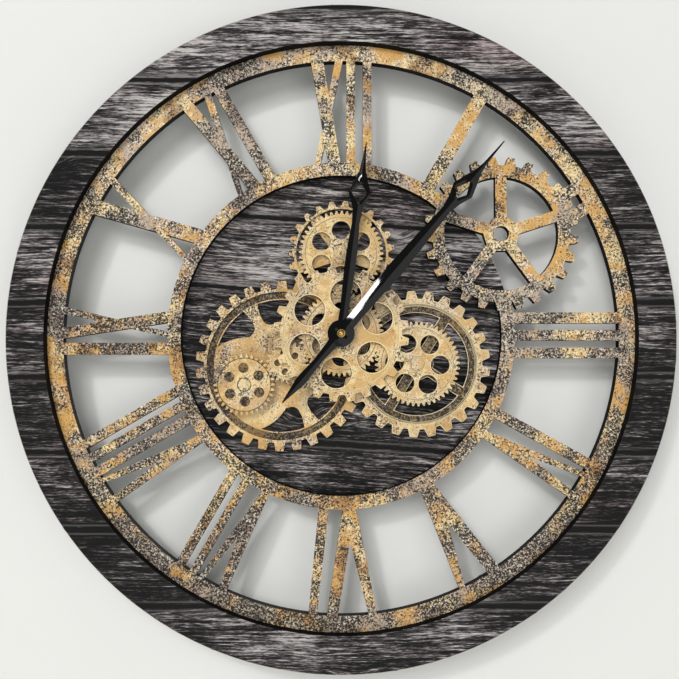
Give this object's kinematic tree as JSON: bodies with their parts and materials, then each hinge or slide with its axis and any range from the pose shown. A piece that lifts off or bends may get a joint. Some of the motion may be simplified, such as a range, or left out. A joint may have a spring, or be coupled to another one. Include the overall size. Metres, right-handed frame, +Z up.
{
  "type": "skeleton wall clock",
  "caption": "Round skeleton wall clock with layered boards, cut-out Roman numerals, exposed turning gears and black bevelled hands, driven by a quartz movement.",
  "frame": {"origin": "on the wall face of the rear cover, on the axis of the hands", "axes": "+Z up, -Y out from the wall towards the viewer, +X to the viewer's right"},
  "size_m": [0.5999, 0.0628, 0.6],
  "materials": {
    "plank_print": "matt printed board, weathered dark planks",
    "gold_print": "matt printed board, gold with black and silver speckle",
    "gear_plastic": "cream gold with dark speckle",
    "hand_black": "gloss black",
    "brass": "turned",
    "steel": "plated",
    "case_plastic": "fine texture",
    "cell_jacket": "printed jacket",
    "copper_coil": "enamelled wire",
    "board_green": "solder mask",
    "white_plastic": "acetal",
    "rubber": "matt"
  },
  "bodies": {
    "frame": {"outer_ring": "plank_print", "numeral_rim": "gold_print", "inner_ring": "gold_print", "dial_gear": "gold_print", "numeral_12": "gold_print", "numeral_1": "gold_print", "numeral_3": "gold_print", "numeral_4": "gold_print", "numeral_5": "gold_print", "numeral_6": "gold_print", "numeral_7": "gold_print", "numeral_8": "gold_print", "numeral_9": "gold_print", "numeral_10": "gold_print", "numeral_11": "gold_print", "centre_disc": "plank_print", "left_bracket": "gear_plastic", "top_bearing": "brass", "right_post": "gear_plastic", "idler_post": "gear_plastic", "left_post": "gear_plastic", "movement_bush": "brass", "bush_washer": "steel", "bush_nut": "brass", "movement_case": "case_plastic", "movement_cover": "case_plastic", "movement_cell": "cell_jacket", "cell_springs": "steel", "drive_coil": "copper_coil", "circuit_board": "board_green", "motion_post": "steel", "rear_case": "case_plastic", "rear_cover": "case_plastic", "gear_motor": "steel", "drive_cells": "cell_jacket", "drive_contacts": "steel", "hanger_plate": "steel", "wall_pads": "rubber", "cover_screws": "steel", "case_screws": "steel"},
    "minute": {"minute_hand": "hand_black", "cap_nut": "brass", "minute_arbor": "brass"},
    "hour": {"hour_hand": "hand_black", "hour_wheel": "brass"},
    "motion": {"motion_wheel": "white_plastic"},
    "knob": {"setting_knob": "case_plastic"},
    "centre_gear": {"centre_wheel_front": "gear_plastic", "centre_wheel_rear": "gear_plastic", "centre_sleeve": "brass"},
    "top_gear": {"top_wheel": "gear_plastic", "top_ring_wheel": "gear_plastic", "top_axle": "gear_plastic"},
    "right_gear": {"right_wheel": "gear_plastic", "right_ring_wheel": "gear_plastic"},
    "idler_gear": {"idler_wheel": "gear_plastic"},
    "left_gear": {"left_wheel": "gear_plastic"},
    "door": {"battery_door": "case_plastic"},
    "switch": {"slide_switch": "case_plastic"}
  },
  "joints": [
    {"name": "minute_turn", "type": "hinge", "parent": "frame", "child": "minute", "pos_m": [0, -0.057, 0], "axis": [0, 1, 0], "continuous": true},
    {"name": "hour_turn", "type": "hinge", "parent": "frame", "child": "hour", "pos_m": [0, -0.054, 0], "axis": [0, 1, 0], "continuous": true},
    {"name": "motion_turn", "type": "hinge", "parent": "frame", "child": "motion", "pos_m": [0, -0.018, 0.009], "axis": [0, 1, 0], "continuous": true},
    {"name": "knob_turn", "type": "hinge", "parent": "frame", "child": "knob", "pos_m": [0, -0.01, 0.018], "axis": [0, 1, 0], "continuous": true},
    {"name": "centre_turn", "type": "hinge", "parent": "frame", "child": "centre_gear", "pos_m": [0, -0.042, 0], "axis": [0, 1, 0], "continuous": true},
    {"name": "top_turn", "type": "hinge", "parent": "frame", "child": "top_gear", "pos_m": [0, -0.042, 0.07344], "axis": [0, 1, 0], "continuous": true},
    {"name": "right_turn", "type": "hinge", "parent": "frame", "child": "right_gear", "pos_m": [0.06842, -0.042, -0.02668], "axis": [0, 1, 0], "continuous": true},
    {"name": "idler_turn", "type": "hinge", "parent": "frame", "child": "idler_gear", "pos_m": [-0.04813, -0.042, -0.02516], "axis": [0, 1, 0], "continuous": true},
    {"name": "left_turn", "type": "hinge", "parent": "frame", "child": "left_gear", "pos_m": [-0.08678, -0.042, -0.04537], "axis": [0, 1, 0], "continuous": true},
    {"name": "door_slide", "type": "slide", "parent": "frame", "child": "door", "axis": [0, 0, 1], "range_m": [0, 0.06]},
    {"name": "switch_slide", "type": "slide", "parent": "frame", "child": "switch", "axis": [0, 0, 1], "range_m": [0, 0.005]}
  ],
  "couplings": [
    {"joint": "hour_turn", "follows": "minute_turn", "ratio": 0.083333},
    {"joint": "motion_turn", "follows": "minute_turn", "ratio": -0.33333},
    {"joint": "knob_turn", "follows": "minute_turn", "ratio": 1},
    {"joint": "top_turn", "follows": "centre_turn", "ratio": -1},
    {"joint": "right_turn", "follows": "centre_turn", "ratio": -1},
    {"joint": "idler_turn", "follows": "centre_turn", "ratio": -2.087},
    {"joint": "left_turn", "follows": "centre_turn", "ratio": 1.4118}
  ]
}
